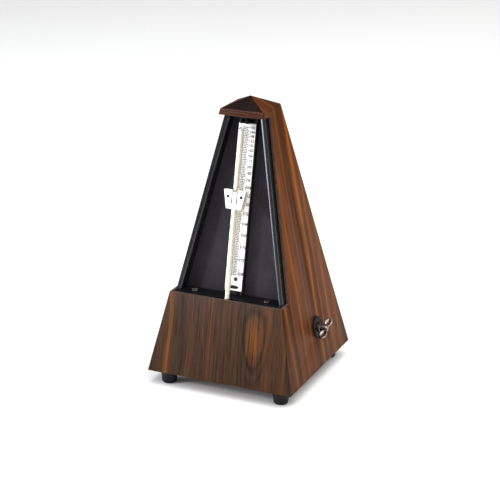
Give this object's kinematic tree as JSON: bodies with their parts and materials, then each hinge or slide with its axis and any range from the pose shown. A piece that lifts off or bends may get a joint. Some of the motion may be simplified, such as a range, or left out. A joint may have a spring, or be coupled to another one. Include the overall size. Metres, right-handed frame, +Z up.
{
  "type": "metronome",
  "caption": "Pyramid-cased clockwork metronome: wooden case on feet, open dial front with scale plate, swinging pendulum with sliding weight, winding key on the right side.",
  "frame": {"origin": "on the surface the feet stand on, under the middle of the overall width (winding key included) and of the case depth", "axes": "+Z up; the dial faces -Y; +X is to the right seen from the front, the side the key is on"},
  "size_m": [0.1222, 0.118, 0.2182],
  "materials": {
    "walnut_veneer": "satin walnut veneer, grain running up the case",
    "roof_walnut": "satin dark walnut",
    "fibreboard": "bare hardboard",
    "foot_rubber": "moulded black rubber",
    "black_plastic": "moulded, fine texture on the floor, smooth rim",
    "printed_aluminium": "printed ivory-white",
    "spring_steel": "drawn strip",
    "nickel_plate": "nickel plated",
    "brass": "stamped and turned",
    "steel": "turned",
    "cast_iron": "as cast, oiled"
  },
  "bodies": {
    "case": {"lower_front_panel": "walnut_veneer", "left_side_panel": "walnut_veneer", "right_side_panel": "walnut_veneer", "rear_panel": "walnut_veneer", "roof_cap": "roof_walnut", "base_plate": "fibreboard", "front_left_foot": "foot_rubber", "front_right_foot": "foot_rubber", "rear_right_foot": "foot_rubber", "rear_left_foot": "foot_rubber", "dial_surround": "black_plastic", "pendulum_catch": "black_plastic", "key_escutcheon": "black_plastic", "scale_plate": "printed_aluminium", "mainspring": "spring_steel", "left_surround_screw": "nickel_plate", "right_surround_screw": "nickel_plate", "left_movement_plate": "brass", "right_movement_plate": "brass", "train_cock": "brass", "staff_front_bridge": "brass", "staff_rear_cock": "brass", "top_rear_pillar": "steel", "bottom_rear_pillar": "steel", "bottom_front_pillar": "steel", "cock_lower_pillar": "steel", "cock_upper_pillar": "steel", "front_left_foot_screw": "steel", "front_right_foot_screw": "steel", "rear_right_foot_screw": "steel", "rear_left_foot_screw": "steel", "front_left_movement_screw": "steel", "front_right_movement_screw": "steel", "rear_right_movement_screw": "steel", "rear_left_movement_screw": "steel"},
    "pendulum": {"pendulum_rod": "spring_steel", "pendulum_bob": "cast_iron", "pallet_staff": "steel", "pendulum_hub": "brass"},
    "weight": {"weight_front_plate": "nickel_plate", "weight_back_plate": "nickel_plate", "weight_left_rivet": "steel", "weight_right_rivet": "steel"},
    "great_wheel": {"great_wheel": "brass", "click_stud": "steel"},
    "click": {"click": "steel"},
    "winding_arbor": {"winding_arbor": "steel", "winding_key": "nickel_plate", "ratchet_wheel": "steel"},
    "second_arbor": {"second_arbor": "steel", "second_wheel": "brass"},
    "escape_arbor": {"escape_arbor": "steel", "escape_wheel": "brass"}
  },
  "joints": [
    {"name": "pendulum_swing", "type": "hinge", "parent": "case", "child": "pendulum", "pos_m": [-0.00206, -0.04493, 0.0588], "axis": [0, 0.9772, -0.2125], "range_deg": [-22, 22]},
    {"name": "weight_slide", "type": "slide", "parent": "pendulum", "child": "weight", "axis": [0, 0.2125, 0.9772], "range_m": [-0.058, 0.042]},
    {"name": "great_wheel_spin", "type": "hinge", "parent": "case", "child": "great_wheel", "pos_m": [-0.02806, 0.006, 0.0415], "axis": [1, 0, 0], "continuous": true},
    {"name": "key_wind", "type": "hinge", "parent": "great_wheel", "child": "winding_arbor", "pos_m": [0.05066, 0.006, 0.0415], "axis": [1, 0, 0], "continuous": true},
    {"name": "click_lift", "type": "hinge", "parent": "great_wheel", "child": "click", "pos_m": [-0.02576, 0.0152, 0.0487], "axis": [1, 0, 0], "range_deg": [0, 9], "stiffness_Nm_per_rad": 0.004, "springref_deg": -8.59},
    {"name": "second_arbor_spin", "type": "hinge", "parent": "case", "child": "second_arbor", "pos_m": [-0.00206, -0.01748, 0.04645], "axis": [1, 0, 0], "continuous": true},
    {"name": "escape_arbor_spin", "type": "hinge", "parent": "case", "child": "escape_arbor", "pos_m": [-0.00206, -0.02949, 0.05544], "axis": [1, 0, 0], "continuous": true}
  ],
  "couplings": [
    {"joint": "second_arbor_spin", "follows": "great_wheel_spin", "ratio": -7},
    {"joint": "escape_arbor_spin", "follows": "great_wheel_spin", "ratio": 28}
  ]
}
